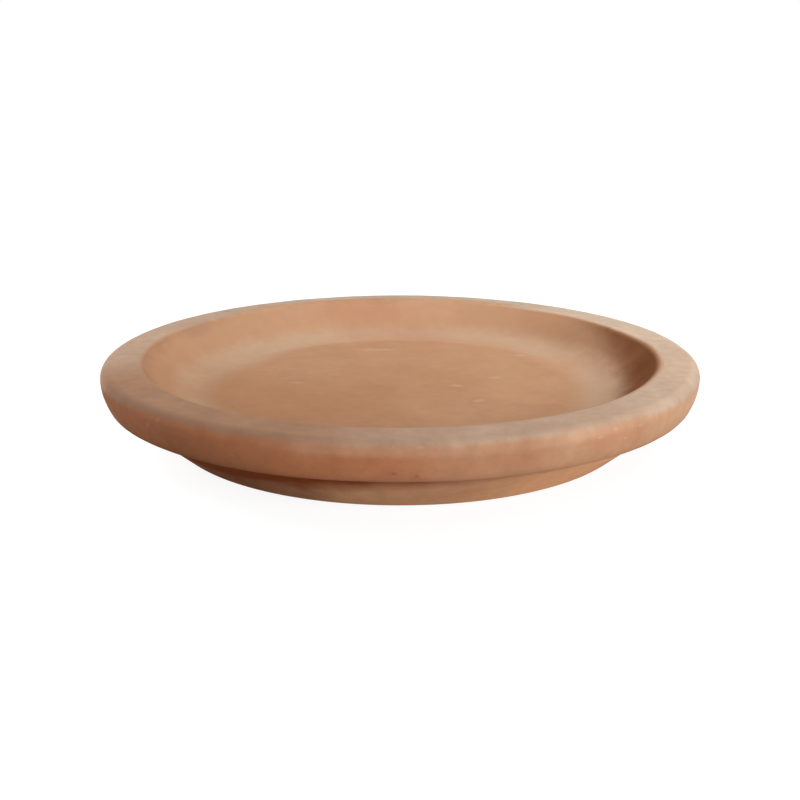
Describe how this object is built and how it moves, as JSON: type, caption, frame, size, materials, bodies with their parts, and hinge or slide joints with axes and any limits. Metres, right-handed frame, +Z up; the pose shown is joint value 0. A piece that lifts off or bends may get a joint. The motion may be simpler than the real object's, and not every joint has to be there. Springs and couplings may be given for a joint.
{
  "type": "plant saucer",
  "caption": "Round terracotta plant saucer: a shallow dish with a heavy flat-topped rim over a leaning wall, a flat floor for a pot and a foot ring to stand on.",
  "frame": {"origin": "centre of the foot ring, on the ground", "axes": "+Z up along the axis that the saucer is turned about; X and Y are level"},
  "size_m": [0.3, 0.3, 0.0405],
  "materials": {
    "terracotta": "unglazed, matt, with a pale dusty bloom on the rim"
  },
  "bodies": {
    "root": {"saucer": "terracotta"}
  },
  "joints": []
}
